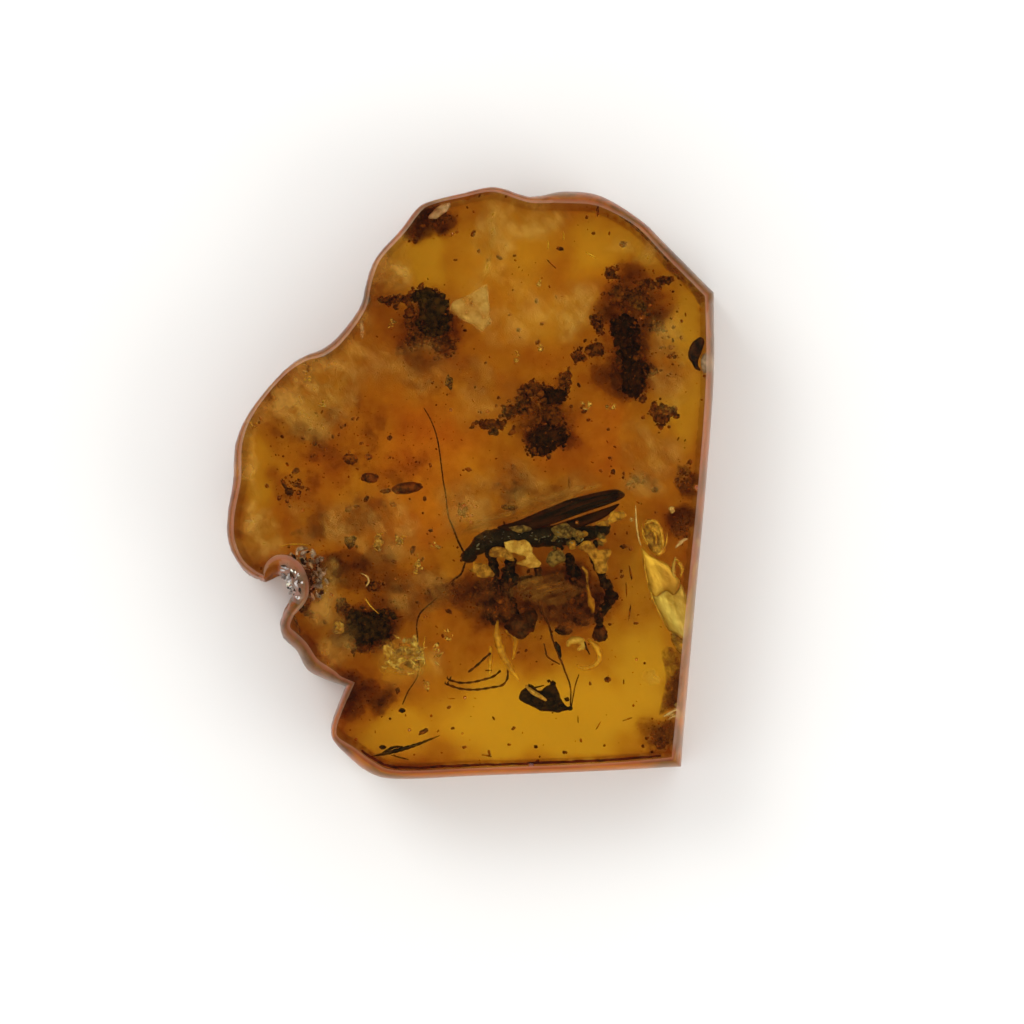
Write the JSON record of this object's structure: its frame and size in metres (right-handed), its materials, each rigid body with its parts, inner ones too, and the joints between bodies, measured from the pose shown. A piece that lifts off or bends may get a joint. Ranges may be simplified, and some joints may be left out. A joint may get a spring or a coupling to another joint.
{
  "type": "insect in amber",
  "caption": "Polished amber slab with a natural lobed edge on one side and two straight sawn edges, holding a long-legged insect and dark plant debris.",
  "frame": {"origin": "middle of the slab's footprint, on its flat back face", "axes": "+Z out of the polished front face, +Y up the slab to its rounded crown, +X to its long sawn edge"},
  "size_m": [0.0244, 0.0296, 0.007],
  "materials": {
    "amber_resin": "polished, see-through golden orange resin",
    "insect_shell": "dark glossy cuticle with pale decay film",
    "plant_debris": "dark rotten bark and soil crumbs",
    "frass": "brown pressed pellets"
  },
  "bodies": {
    "root": {"amber_back": "amber_resin", "amber_front": "amber_resin", "insect": "insect_shell", "debris_upper_left": "plant_debris", "debris_upper_right": "plant_debris", "debris_centre": "plant_debris", "debris_lower_left": "plant_debris", "bark_flake": "plant_debris", "splinter": "plant_debris", "pellet_long": "frass", "pellet_short": "frass"}
  },
  "joints": []
}
